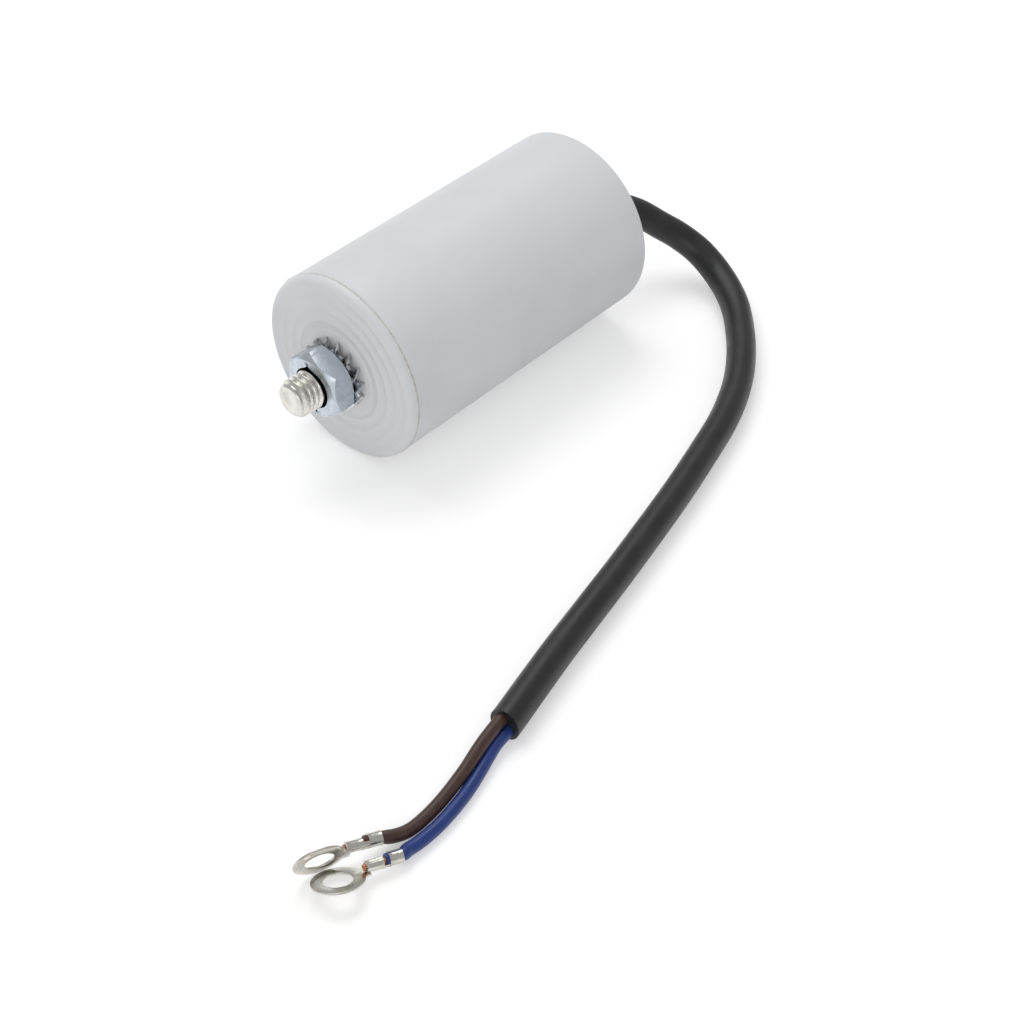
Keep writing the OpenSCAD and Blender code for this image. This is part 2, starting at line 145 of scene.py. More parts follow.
# %% Grain: fine bumps of moulded plastic
def make_grain():
    group, given, out = new_group(
        "moulded grain", {"Scale": 1800.0, "Wave Scale": 60.0, "Wave": 0.5}, {"Height": "NodeSocketFloat"}
    )
    place = add(group, "ShaderNodeTexCoord")
    fine = add(group, "ShaderNodeTexNoise", Detail=4.0, Roughness=0.6)
    wave = add(group, "ShaderNodeTexNoise", Detail=2.0, Roughness=0.4)
    mix = add(group, "ShaderNodeMix", data_type="FLOAT")
    join(
        group,
        (place.outputs["Object"], fine.inputs["Vector"]),
        (place.outputs["Object"], wave.inputs["Vector"]),
        (given.outputs["Scale"], fine.inputs["Scale"]),
        (given.outputs["Wave Scale"], wave.inputs["Scale"]),
        (given.outputs["Wave"], mix.inputs[0]),
        (fine.outputs["Fac"], mix.inputs[2]),
        (wave.outputs["Fac"], mix.inputs[3]),
        (mix.outputs[0], out.inputs["Height"]),
    )
    return group


grain_group = make_grain()

# %% Blotches: slow changes between two colours
def make_blotches():
    group, given, out = new_group(
        "blotches",
        {"Scale": 90.0, "Low": 0.35, "High": 0.7, "First": (1, 1, 1, 1), "Second": (0.8, 0.8, 0.8, 1)},
        {"Color": "NodeSocketColor", "Mask": "NodeSocketFloat"},
    )
    place = add(group, "ShaderNodeTexCoord")
    cloud = add(group, "ShaderNodeTexNoise", Detail=6.0, Roughness=0.62, Distortion=0.4)
    spread = add(group, "ShaderNodeMapRange", interpolation_type="SMOOTHSTEP")
    mix = add(group, "ShaderNodeMix", data_type="RGBA")
    join(
        group,
        (place.outputs["Object"], cloud.inputs["Vector"]),
        (given.outputs["Scale"], cloud.inputs["Scale"]),
        (cloud.outputs["Fac"], spread.inputs["Value"]),
        (given.outputs["Low"], spread.inputs["From Min"]),
        (given.outputs["High"], spread.inputs["From Max"]),
        (spread.outputs["Result"], mix.inputs[0]),
        (given.outputs["First"], mix.inputs[6]),
        (given.outputs["Second"], mix.inputs[7]),
        (mix.outputs[2], out.inputs["Color"]),
        (spread.outputs["Result"], out.inputs["Mask"]),
    )
    return group


blotch_group = make_blotches()

# %% Scratches: fine lines drawn across plated metal
def make_scratches():
    group, given, out = new_group(
        "scratches", {"Scale": 900.0, "Stretch": 0.06}, {"Height": "NodeSocketFloat", "Mask": "NodeSocketFloat"}
    )
    place = add(group, "ShaderNodeTexCoord")
    total = add(group, "ShaderNodeMath", operation="MAXIMUM")
    for turn in (0.5, 1.9):
        squeeze = add(group, "ShaderNodeMapping")
        squeeze.inputs["Rotation"].default_value = (turn, 0.7 * turn, turn)
        shape = add(group, "ShaderNodeCombineXYZ", X=1.0, Y=1.0)
        line = add(group, "ShaderNodeTexNoise", Detail=2.0, Roughness=0.5)
        keep = add(group, "ShaderNodeMapRange")
        keep.inputs["From Min"].default_value = 0.6
        keep.inputs["From Max"].default_value = 0.74
        join(
            group,
            (place.outputs["Object"], squeeze.inputs["Vector"]),
            (given.outputs["Stretch"], shape.inputs["Z"]),
            (shape.outputs["Vector"], squeeze.inputs["Scale"]),
            (squeeze.outputs["Vector"], line.inputs["Vector"]),
            (given.outputs["Scale"], line.inputs["Scale"]),
            (line.outputs["Fac"], keep.inputs["Value"]),
            (keep.outputs["Result"], total.inputs[0 if turn < 1 else 1]),
        )
    join(
        group,
        (total.outputs["Value"], out.inputs["Height"]),
        (total.outputs["Value"], out.inputs["Mask"]),
    )
    return group


scratch_group = make_scratches()
print("groups:", [g.name for g in (grain_group, blotch_group, scratch_group)])

# %% [markdown]
# ## Finishes
# One function makes a moulded plastic from two close colours and a grain, and another makes a
# plated metal from two close tints, a roughness and scratches. What is the same all over the
# surface, such as being a metal, is typed into the shader's own socket.

# %% Moulded plastic and plated metal
def start_material(name):
    material = bpy.data.materials.new(name)
    material.use_nodes = True
    return material, material.node_tree, material.node_tree.nodes["Principled BSDF"]


def put(tree, group, **values):
    node = tree.nodes.new("ShaderNodeGroup")
    node.node_tree = group
    for label, value in values.items():
        node.inputs[label.replace("_", " ")].default_value = value
    return node


def moulded(name, first, second, blotch_scale, roughness, bump, grain_scale=1800.0, wave=0.5, wave_scale=60.0):
    """Plastic in two close colours with a fine grain; bump is the grain's height in metres."""
    material, tree, shader = start_material(name)
    blotch = put(tree, blotch_group, Scale=blotch_scale, First=(*first, 1), Second=(*second, 1))
    grain = put(tree, grain_group, Scale=grain_scale, Wave=wave, Wave_Scale=wave_scale)
    relief = add(tree, "ShaderNodeBump", Strength=1.0, Distance=bump)
    shine = add(tree, "ShaderNodeMapRange")
    shine.inputs["To Min"].default_value = roughness - 0.05
    shine.inputs["To Max"].default_value = roughness + 0.08
    join(
        tree,
        (blotch.outputs["Color"], shader.inputs["Base Color"]),
        (blotch.outputs["Mask"], shine.inputs["Value"]),
        (shine.outputs["Result"], shader.inputs["Roughness"]),
        (grain.outputs["Height"], relief.inputs["Height"]),
        (relief.outputs["Normal"], shader.inputs["Normal"]),
    )
    return material


def plated(name, first, second, roughness, blotch_scale=420.0, bump=0.00002, scratch_scale=900.0, stretch=0.06):
    """Plated steel in two close tints, dulled in blotches and along scratches."""
    material, tree, shader = start_material(name)
    shader.inputs["Metallic"].default_value = 1.0
    blotch = put(tree, blotch_group, Scale=blotch_scale, First=(*first, 1), Second=(*second, 1))
    scratch = put(tree, scratch_group, Scale=scratch_scale, Stretch=stretch)
    relief = add(tree, "ShaderNodeBump", Strength=0.5, Distance=bump)
    dull = add(tree, "ShaderNodeMath", operation="MAXIMUM")
    shine = add(tree, "ShaderNodeMapRange")
    shine.inputs["To Min"].default_value = roughness
    shine.inputs["To Max"].default_value = roughness + 0.18
    join(
        tree,
        (blotch.outputs["Color"], shader.inputs["Base Color"]),
        (blotch.outputs["Mask"], dull.inputs[0]),
        (scratch.outputs["Mask"], dull.inputs[1]),
        (dull.outputs["Value"], shine.inputs["Value"]),
        (shine.outputs["Result"], shader.inputs["Roughness"]),
        (scratch.outputs["Height"], relief.inputs["Height"]),
        (relief.outputs["Normal"], shader.inputs["Normal"]),
    )
    return material


# %% The finishes of this capacitor
white_plastic = moulded(
    "white case plastic", (0.80, 0.81, 0.83), (0.76, 0.77, 0.79), 45.0, 0.48, 0.00002, 2600.0, 0.6, 110.0
)
flash_plastic = moulded(
    "rough plastic flash", (0.70, 0.68, 0.64), (0.50, 0.47, 0.42), 900.0, 0.65, 0.00006, 2200.0, 0.3, 400.0
)
lid_plastic = moulded(
    "lid plastic", (0.74, 0.75, 0.77), (0.70, 0.71, 0.73), 60.0, 0.5, 0.00002, 2600.0, 0.5, 120.0
)
stud_finish = plated("stud plating", (0.78, 0.76, 0.72), (0.62, 0.60, 0.56), 0.2)
nut_finish = plated("nut plating", (0.60, 0.65, 0.70), (0.50, 0.55, 0.61), 0.24)
washer_finish = plated("washer plating", (0.66, 0.68, 0.70), (0.42, 0.43, 0.44), 0.18)
terminal_finish = plated("terminal tin", (0.66, 0.64, 0.59), (0.55, 0.53, 0.48), 0.16, 300.0)
sheath_finish = moulded(
    "black sheath", (0.012, 0.012, 0.013), (0.020, 0.020, 0.021), 160.0, 0.42, 0.00003, 1500.0, 0.5, 300.0
)
brown_finish = moulded(
    "brown insulation", (0.052, 0.022, 0.016), (0.070, 0.034, 0.026), 500.0, 0.42, 0.00002, 2500.0, 0.6, 500.0
)
blue_finish = moulded(
    "blue insulation", (0.010, 0.035, 0.19), (0.014, 0.046, 0.24), 500.0, 0.38, 0.00002, 2500.0, 0.6, 500.0
)
copper_finish = plated("bare copper", (0.72, 0.36, 0.20), (0.50, 0.22, 0.12), 0.3)
resin_finish = moulded("potting resin", (0.45, 0.33, 0.15), (0.36, 0.25, 0.10), 120.0, 0.25, 0.00004, 300.0)
spray_finish = plated("sprayed zinc", (0.50, 0.51, 0.52), (0.32, 0.33, 0.34), 0.55, 1500.0, 0.0002, 1800.0, 0.9)
tube_finish = moulded("winding tube", (0.22, 0.25, 0.29), (0.18, 0.21, 0.25), 120.0, 0.4, 0.00002)
solder_finish = plated("solder", (0.66, 0.66, 0.65), (0.50, 0.50, 0.50), 0.3)
print("materials:", len(bpy.data.materials))

# %% [markdown]
# The film roll is bare metallised film wound round and round. Rings about the roll's axis come
# from a wave texture on object coordinates, moved so that they centre on the axis.

# %% Wound film
def make_film():
    material, tree, shader = start_material("wound film")
    shader.inputs["Metallic"].default_value = 0.6
    shader.inputs["Roughness"].default_value = 0.32
    place = add(tree, "ShaderNodeTexCoord")
    centre = add(tree, "ShaderNodeMapping")
    centre.inputs["Location"].default_value = (0, 0, -axis_z)
    layers = add(tree, "ShaderNodeTexWave", wave_type="RINGS", rings_direction="X", Scale=900.0, Distortion=1.2)
    tint = add(tree, "ShaderNodeValToRGB")
    tint.color_ramp.elements[0].color = (0.50, 0.53, 0.58, 1)
    tint.color_ramp.elements[1].color = (0.72, 0.74, 0.78, 1)
    relief = add(tree, "ShaderNodeBump", Strength=0.4, Distance=0.00005)
    join(
        tree,
        (place.outputs["Object"], centre.inputs["Vector"]),
        (centre.outputs["Vector"], layers.inputs["Vector"]),
        (layers.outputs["Fac"], tint.inputs["Fac"]),
        (tint.outputs["Color"], shader.inputs["Base Color"]),
        (layers.outputs["Fac"], relief.inputs["Height"]),
        (relief.outputs["Normal"], shader.inputs["Normal"]),
    )
    return material


film_finish = make_film()

# %% [markdown]
# ## Turning a mesh into a piece
# Each new piece is modelled in a bmesh, cleaned, shaded smooth with crisp edges kept, and then
# stands for one CAD node. It rides on the part's only body, because nothing here moves.

# %% Finish a piece
def finished(name, bm, material, node=None, sharp=32, turn_out=True):
    bmesh.ops.remove_doubles(bm, verts=bm.verts, dist=0.2e-6)
    if turn_out:
        bmesh.ops.recalc_face_normals(bm, faces=bm.faces)
    mesh = bpy.data.meshes.new(name)
    bm.to_mesh(mesh)
    bm.free()
    mesh.shade_smooth()
    mesh.set_sharp_from_angle(angle=radians(sharp))
    mesh.materials.append(material)
    piece = bpy.data.objects.new(name, mesh)
    bpy.context.collection.objects.link(piece)
    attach(piece, "root")
    if node:
        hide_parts(node)
    print(f"{name}: {len(mesh.polygons)} faces")
    return piece


def chain(bm, points):
    """Vertices at the points, joined in a row; returns vertices and edges."""
    verts = [bm.verts.new(p) for p in points]
    edges = [bm.edges.new(pair) for pair in zip(verts, verts[1:])]
    return verts + edges


def turned(bm, outline, steps, closed=True):
    """Spins an outline of (x, radius) in millimetres about the axis of the can."""
    points = [at_end(x * MM, r * MM, 0) for x, r in outline]
    geom = chain(bm, points + points[:1] if closed else points)
    bmesh.ops.spin(
        bm, geom=geom, cent=at_end(0, 0, 0), axis=(1, 0, 0), dvec=(0, 0, 0),
        angle=2 * pi, steps=steps, use_merge=True, use_duplicate=False,
    )


def arc(centre_x, centre_r, radius, start, end, steps):
    """Points (x, r) on a round stretch of an outline; angles in degrees from +x towards +r."""
    turns = [radians(start + (end - start) * i / steps) for i in range(steps + 1)]
    return [(centre_x + radius * cos(a), centre_r + radius * sin(a)) for a in turns]


# %% [markdown]
# ## Lead
# The black sheath comes out of the collar, falls to the surface in one wide bend and runs past
# the can. Its route repeats the points of the solids, in metres. The points are few, so a smooth
# curve is drawn through them first, and then a ring of vertices is set square to it at each step
# and joined to the next.

# %% Route of the lead
SHEATH_DIAMETER = 6.2 * MM
CORE_DIAMETER = 2.4 * MM
FLOOR = 3.1
SHEATH_ROUTE = [
    (collar_x / MM - 9.6, 0, 20), (collar_x / MM + 1, 0, 20), (49, -1.5, 19.3), (54.5, -5, 16.5),
    (58.2, -9, 13), (61, -12.5, 10.2), (62.4, -17.5, 7.4), (61.2, -24, 4.8), (57.2, -31, 3.5),
    (50.3, -38, FLOOR), (42, -44.5, FLOOR), (33.5, -49.5, FLOOR), (24, -53.5, FLOOR),
    (14, -56.5, FLOOR), (1.5, -59.9, FLOOR), (-12, -63.1, FLOOR), (-24, -65.8, FLOOR),
    (-35, -68.1, FLOOR), (-46, -70.4, FLOOR), (-57.5, -73.1, FLOOR), (-62.8, -74.4, FLOOR),
    (-65.6, -75, FLOOR),
]
sheath_route = [Vector(p) * MM for p in SHEATH_ROUTE]
print("sheath points:", len(sheath_route))

# %% Smooth route and rings of vertices
def smooth_route(points, parts):
    """A curve through all the points, with so many parts between each two."""
    path = []
    for i in range(len(points) - 1):
        before = points[max(i - 1, 0)]
        after = points[min(i + 2, len(points) - 1)]
        start, end = points[i], points[i + 1]
        reach = (end - start).length
        lead_in = (end - before).normalized() * reach / 3
        lead_out = (after - start).normalized() * reach / 3
        for k in range(parts):
            t = k / parts
            path.append(
                (1 - t) ** 3 * start + 3 * (1 - t) ** 2 * t * (start + lead_in)
                + 3 * (1 - t) * t**2 * (end - lead_out) + t**3 * end
            )
    return path + [points[-1]]


def heading(path, i):
    return (path[min(i + 1, len(path) - 1)] - path[max(i - 1, 0)]).normalized()


def cross_frame(path, i):
    """Sideways and upwards directions square to the path at one of its points."""
    t = heading(path, i)
    side = Vector((0, 0, 1)).cross(t).normalized()
    return side, t.cross(side)


def path_length(path):
    return sum((b - a).length for a, b in zip(path, path[1:]))


def ring_of_verts(bm, centre, side, up, radius, count):
    ring = bmesh.ops.create_circle(bm, segments=count, radius=radius)["verts"]
    place = Matrix((side, up, side.cross(up))).transposed().to_4x4()
    place.translation = centre
    bmesh.ops.transform(bm, matrix=place, verts=ring)
    return [e for v in ring for e in v.link_edges if e.other_vert(v) in ring]


def tube_along(bm, path, radius_at, count):
    """Rings square to the path, bridged one to the next; radius_at gives each ring's radius."""
    last = None
    for i, centre in enumerate(path):
        side, up = cross_frame(path, i)
        ring = list(set(ring_of_verts(bm, centre, side, up, radius_at(i), count)))
        if last:
            bmesh.ops.bridge_loops(bm, edges=last + ring)
        last = ring
    return last


print("helpers for cords ready")

# %% [markdown]
# The sheath is a soft plastic hose over two cores laid side by side, so it isn't quite round: it
# bulges a little over the pair, and the pair turns slowly along the lead. Each ring is squeezed a
# few hundredths of its size at an angle that grows along the way. The cut end is left slightly
# askew, as a knife leaves it.

# %% Sheath
SHEATH_WALL = 0.55 * MM
SHEATH_OVAL = 0.022
SHEATH_LAY = radians(1.1)
CUT_SKEW = 0.35 * MM


def oval_ring(bm, path, i, radius, count, oval=0.0, lay=0.0):
    """One ring square to the path, squeezed by a share of its radius across the lay angle."""
    side, up = cross_frame(path, i)
    ring = bmesh.ops.create_circle(bm, segments=count, radius=radius)["verts"]
    place = Matrix((side, up, side.cross(up))).transposed().to_4x4()
    place.translation = path[i]
    squeeze = Matrix.Diagonal((1 + oval, 1 - oval, 1, 1))
    turn = Matrix.Rotation(lay, 4, "Z")
    bmesh.ops.transform(bm, matrix=place @ turn @ squeeze @ turn.inverted(), verts=ring)
    return ring


def edges_of(ring):
    inside = set(ring)
    return list({e for v in ring for e in v.link_edges if e.other_vert(v) in inside})


def bridged_rings(bm, rings):
    for first, second in zip(rings, rings[1:]):
        bmesh.ops.bridge_loops(bm, edges=edges_of(first) + edges_of(second))


sheath_path = smooth_route(sheath_route, 4)


def make_sheath():
    bm = bmesh.new()
    outside = []
    inside = []
    last = len(sheath_path) - 1
    for i in range(last + 1):
        lay = SHEATH_LAY * i
        outer = oval_ring(bm, sheath_path, i, SHEATH_DIAMETER / 2, 32, SHEATH_OVAL, lay)
        outside.append(outer)
    for i in range(last, -1, -1):
        lay = SHEATH_LAY * i
        inner = oval_ring(bm, sheath_path, i, SHEATH_DIAMETER / 2 - SHEATH_WALL, 32, SHEATH_OVAL, lay)
        inside.append(inner)
    ahead = heading(sheath_path, last)
    side, up = cross_frame(sheath_path, last)
    for v in outside[-1] + inside[0]:
        across = (v.co - sheath_path[last]) / (SHEATH_DIAMETER / 2)
        rough = 0.12 * MM * noise.noise(v.co / MM)
        v.co += ahead * (CUT_SKEW * across.dot(side - 0.4 * up) - CUT_SKEW + rough)
    bridged_rings(bm, outside + inside + outside[:1])
    return bm


lead = finished("lead_cover", make_sheath(), sheath_finish, "lead_sheath", 50)
print("lead", round(path_length(sheath_path) / MM), "mm long")

# %% [markdown]
# ## Cores and terminals: where they lie
# Each terminal has a frame of its own: its eye is the origin, X runs along its shank to the wire
# and Z stands on the plate. One matrix carries that frame to its place, so the wire's end can be
# written in the terminal's own sizes and always meets the crimp.

# %% Frames of the two terminals and routes of the two cores
BROWN_EYE, BROWN_TURN = (-107, -72.9, 4.5), (-74, 11.5, -21.5)
BLUE_EYE, BLUE_TURN = (-106.8, -76.8, 2.4), (-25.5, 7.5, -22)
RING_R, EYE_R, SHEET = 4.5, 2.5, 0.4
NECK_W = 2.3
COPPER_BARREL = (4.9, 7.8, 2.3)
GRIP = (8.8, 11.2, 2.8)
BARREL_WALL = 0.35
SEAM_W = 0.9
copper_axis = COPPER_BARREL[2] / 2 - SHEET / 2
grip_axis = GRIP[2] / 2 - SHEET / 2
insulation_tip = GRIP[0] - 0.5
CORE_STEP = (CORE_DIAMETER + 0.08 * MM) / 2
CORE_LAY = radians(55)


def terminal_frame(eye, turn):
    return Matrix.Translation(Vector(eye) * MM) @ Euler([radians(a) for a in turn]).to_matrix().to_4x4()


brown_frame = terminal_frame(BROWN_EYE, BROWN_TURN)
blue_frame = terminal_frame(BLUE_EYE, BLUE_TURN)
BROWN_FREE = [
    (-70.4, -75.1, 3.8), (-73.2, -75.6, 3.2), (-76.3, -76.3, 2.6), (-80.4, -77, 2),
    (-84.2, -77.5, 1.6), (-87.9, -77.8, 1.5), (-91.6, -77.8, 1.7), (-94.3, -77, 2.1),
]
BLUE_FREE = [
    (-69, -76.2, 2), (-72, -77, 1.6), (-75.5, -78.1, 1.4), (-79.9, -79.3, 1.3),
    (-84.3, -80.1, 1.3), (-88.2, -80.5, 1.3), (-92.3, -80.5, 1.4), (-94.6, -80.3, 1.6),
]


def core_in_sheath(sign):
    """Centres of a core inside the sheath: 1 is the brown one, above, and -1 the blue one."""
    centres = []
    for i, point in enumerate(sheath_route):
        side, up = cross_frame(sheath_route, i)
        centres.append(point + sign * CORE_STEP * (up * sin(CORE_LAY) - side * cos(CORE_LAY)))
    return centres


def crimped_end(place):
    return [place @ (Vector((x, 0, grip_axis)) * MM) for x in (GRIP[1], insulation_tip)]


spread_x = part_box("spray_layer_near")[1][0] / MM
far_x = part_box("spray_layer_far")[0][0] / MM
JOINT_REACH, JOINT_H = 9, 1.5
brown_side = CORE_STEP / MM * Vector((0, -cos(CORE_LAY), sin(CORE_LAY)))
BROWN_START = [
    (x, brown_side.y, 20 + brown_side.z) for x in (far_x, far_x + 21, far_x + 44)
]
BLUE_START = [
    (spread_x + JOINT_H + 1.2, JOINT_REACH - 2.6, 19), (spread_x + JOINT_H + 2.6, 3.4, 19)
]


def core_route(start, sign, free, place):
    first = [Vector(p) * MM for p in start]
    return first + core_in_sheath(sign) + [Vector(p) * MM for p in free] + crimped_end(place)


brown_path = smooth_route(core_route(BROWN_START, 1, BROWN_FREE, brown_frame), 4)
blue_path = smooth_route(core_route(BLUE_START, -1, BLUE_FREE, blue_frame), 4)
print("cores", round(path_length(brown_path) / MM), "and", round(path_length(blue_path) / MM), "mm long")

# %% [markdown]
# ## Ring terminals
# A terminal is blanked from one piece of tinned sheet: a ring with an eye, a neck, a barrel that
# is crimped round the copper and a wider one that grips the insulation. The flat part is an
# outline with a hole, filled and given its thickness. Each barrel starts as a row of rings along
# X, is bridged into a skin and then solidified, with its seam pressed in or left open.

# %% Flat part of a terminal
def circle_points(centre, radius, start, end, steps):
    turns = [radians(start + (end - start) * i / steps) for i in range(steps + 1)]
    return [Vector((centre[0] + radius * cos(a), centre[1] + radius * sin(a), 0)) for a in turns]


def terminal_plate(bm):
    fillet = 0.9
    half = NECK_W / 2
    fillet_x = sqrt((RING_R + fillet) ** 2 - (half + fillet) ** 2)
    join_angle = atan2(half + fillet, fillet_x) / pi * 180
    corner = (fillet_x, half + fillet)
    upper = circle_points(corner, fillet, 180 + join_angle, 270, 6)
    ring = circle_points((0, 0), RING_R, join_angle, 360 - join_angle, 72)
    lower = [Vector((p.x, -p.y, 0)) for p in upper]
    neck_end = COPPER_BARREL[0] + 0.5
    outline = ring + lower[1:] + [Vector((neck_end, -half, 0)), Vector((neck_end, half, 0))]
    outline += list(reversed(upper[1:]))
    rim = [bm.verts.new(p) for p in outline]
    rim_edges = [bm.edges.new((rim[i - 1], rim[i])) for i in range(len(rim))]
    hole = bmesh.ops.create_circle(bm, segments=48, radius=EYE_R)["verts"]
    bmesh.ops.triangle_fill(bm, use_beauty=True, use_dissolve=False, edges=rim_edges + edges_of(hole))
    lifted = bmesh.ops.extrude_face_region(bm, geom=bm.faces[:])["geom"]
    moved = [g for g in lifted if isinstance(g, bmesh.types.BMVert)]
    bmesh.ops.translate(bm, vec=(0, 0, SHEET), verts=moved)
    bmesh.ops.translate(bm, vec=(0, 0, -SHEET / 2), verts=bm.verts)
    bmesh.ops.recalc_face_normals(bm, faces=bm.faces)
    bm.normal_update()
    crisp = [e for e in bm.edges if len(e.link_faces) == 2 and e.calc_face_angle() > radians(60)]
    bmesh.ops.bevel(
        bm, geom=crisp, offset=0.09, segments=3, profile=0.5, material=-1, affect="EDGES"
    )


# %% Crimped barrels
def barrel_skin(bm, size, wall, seam, groove, flare):
    """A barrel from (from, to, diameter); seam is the half angle left open at the top."""
    start, end, diameter = size
    middle = diameter / 2 - wall / 2
    height = diameter / 2 - SHEET / 2
    stations = [0, 0.06, 0.14, 0.3, 0.5, 0.7, 0.86, 0.94, 1]
    rows = []
    for s in stations:
        mouth = flare * max(0, abs(s - 0.5) * 2 - 0.7) / 0.3
        row = []
        for i in range(41):
            angle = radians(seam + (360 - 2 * seam) * i / 40)
            away = min(angle, 2 * pi - angle)
            r = middle + mouth - groove * exp(-((away / 0.32) ** 2))
            x = start + (end - start) * s
            row.append(bm.verts.new((x, r * sin(angle), height + r * cos(angle))))
        rows.append(row)
    faces = []
    for a, b in zip(rows, rows[1:]):
        for i in range(40):
            faces.append(bm.faces.new((a[i], a[i + 1], b[i + 1], b[i])))
    return faces


def make_terminal(place):
    bm = bmesh.new()
    terminal_plate(bm)
    for size, seam, groove, flare in ((COPPER_BARREL, 2, 0.34, 0.1), (GRIP, 20, 0.04, 0.07)):
        part = bmesh.new()
        barrel_skin(part, size, BARREL_WALL, seam, groove, flare)
        bmesh.ops.recalc_face_normals(part, faces=part.faces)
        bmesh.ops.solidify(part, geom=part.faces[:], thickness=BARREL_WALL)
        bmesh.ops.recalc_face_normals(part, faces=part.faces)
        keep = bpy.data.meshes.new("part")
        part.to_mesh(keep)
        part.free()
        bm.from_mesh(keep)
        bpy.data.meshes.remove(keep)
    floor = bmesh.new()
    window = (COPPER_BARREL[1] - 0.2, GRIP[0] + 0.2, COPPER_BARREL[2] + 0.2)
    barrel_skin(floor, window, BARREL_WALL, 105, 0, 0)
    bmesh.ops.solidify(floor, geom=floor.faces[:], thickness=BARREL_WALL)
    bmesh.ops.recalc_face_normals(floor, faces=floor.faces)
    keep = bpy.data.meshes.new("part")
    floor.to_mesh(keep)
    floor.free()
    bm.from_mesh(keep)
    bpy.data.meshes.remove(keep)
    bmesh.ops.scale(bm, vec=(MM, MM, MM), verts=bm.verts)
    bmesh.ops.transform(bm, matrix=place, verts=bm.verts)
    return bm


brown_terminal = finished(
    "terminal_on_brown", make_terminal(brown_frame), terminal_finish,
    "ring_terminal_brown", 40, False,
)
blue_terminal = finished(
    "terminal_on_blue", make_terminal(blue_frame), terminal_finish,
    "ring_terminal_blue", 40, False,
)

# %% Copper strands that show in the crimps
STRAND_R = 0.2


def make_strands(place):
    """Seven strands from inside the insulation to just past the copper barrel."""
    bm = bmesh.new()
    reach = (insulation_tip + 0.2, COPPER_BARREL[0] - 0.45)
    spots = [(0, 0)] + [(0.38 * cos(k * pi / 3), 0.38 * sin(k * pi / 3)) for k in range(6)]
    for k, (y, z) in enumerate(spots):
        end = reach[1] + 0.12 * noise.noise((k * 1.7, 0.3, 0))
        path = []
        for i in range(9):
            t = i / 8
            swing = Matrix.Rotation(0.9 * t, 2) @ Vector((y, z))
            x = reach[0] + (end - reach[0]) * t
            path.append(Vector((x, swing.x, copper_axis + swing.y)))
        rings = [oval_ring(bm, path, i, STRAND_R, 8) for i in range(len(path))]
        bridged_rings(bm, rings)
        for ring in (rings[0], rings[-1]):
            bmesh.ops.contextual_create(bm, geom=edges_of(ring))
    bmesh.ops.scale(bm, vec=(MM, MM, MM), verts=bm.verts)
    bmesh.ops.transform(bm, matrix=place, verts=bm.verts)
    return bm


brown_strands = finished("strands_on_brown", make_strands(brown_frame), copper_finish, None, 40)
blue_strands = finished("strands_on_blue", make_strands(blue_frame), copper_finish, None, 40)

# %% [markdown]
# ## Insulated cores
# Both cores run from their solder joints in the can through the whole sheath. Only the last
# stretch shows, but each is made whole, as the real ones are. The insulation is squeezed where
# the grip of its terminal closes on it, and it is cut square in the open stretch of the crimp.

# %% Cores
SQUEEZED_R = (GRIP[2] / 2 - BARREL_WALL) * MM


def make_core(path):
    bm = bmesh.new()
    last = len(path) - 1
    bore = 0.65 * MM
    radii = [CORE_DIAMETER / 2 if i < last - 5 else SQUEEZED_R for i in range(last + 1)]
    radii[last - 5] = (CORE_DIAMETER / 2 + SQUEEZED_R) / 2
    outside = [oval_ring(bm, path, i, radii[i], 20) for i in range(last + 1)]
    inside = [oval_ring(bm, path, i, bore, 20) for i in range(last, -1, -1)]
    bridged_rings(bm, outside + inside + outside[:1])
    return bm


brown_core = finished("brown_core", make_core(brown_path), brown_finish, "wire_brown", 50)
blue_core = finished("blue_core", make_core(blue_path), blue_finish, "wire_blue", 50)

# %% [markdown]
# ## Case
# The case is one injection moulding, so it is one outline turned about the axis: a flat boss for
# the washer, three hollow rings with crests between them, a rounded edge and the long wall. Where
# the two halves of the mould met, a thin rough flash runs round the edge. It is a narrow band of
# vertices moved in and out by noise, with a finish of its own.

# %% Case outline
RING_OUTER_R, RING_PITCH, RING_COUNT, RING_DEPTH = 18.2, 2.5, 3, 0.3
BOSS_R, BOSS_RISE = 9, 0.2
EDGE_ROUND = 1.7
FLASH_X = 1.75
can_r = case_r / MM
can_len = (case_high.x - case_low.x) / MM
bore_r = can_r - 1.4


def end_outline():
    """From the stud outwards: boss, hollow rings with their crests, and the rounded edge."""
    points = [(0, 4), (0, BOSS_R - 0.1), (0.06, BOSS_R), (BOSS_RISE, BOSS_R + 0.15)]
    first_crest = RING_OUTER_R - RING_COUNT * RING_PITCH
    points += [(BOSS_RISE, first_crest - 0.5), (BOSS_RISE - 0.05, first_crest - 0.22)]
    hollow_r = ((RING_PITCH / 2) ** 2 + RING_DEPTH**2) / (2 * RING_DEPTH)
    half = asin((RING_PITCH / 2 - 0.16) / hollow_r) / pi * 180
    for i in range(RING_COUNT):
        middle = first_crest + (i + 0.5) * RING_PITCH
        points += [(0.02, middle - RING_PITCH / 2)]
        points += arc(RING_DEPTH - hollow_r, middle, hollow_r, -half, half, 10)
    points += [(0.02, RING_OUTER_R), (0.0, RING_OUTER_R + 0.12)]
    points += arc(EDGE_ROUND, can_r - EDGE_ROUND, EDGE_ROUND, 178, 94, 12)
    return points


def case_outline():
    points = end_outline()
    for i in range(5):
        points.append((FLASH_X + 0.09 * (i - 1), can_r))
    points += [(FLASH_X + 1, can_r), (can_len * 0.35, can_r), (can_len * 0.7, can_r)]
    points += arc(can_len - 0.4, can_r - 0.4, 0.4, 90, 0, 4)
    points += arc(can_len - 0.2, bore_r + 0.2, 0.2, 0, -90, 2)
    points += [(3, bore_r), (3, 10), (8, 10), (8, 4)]
    return points


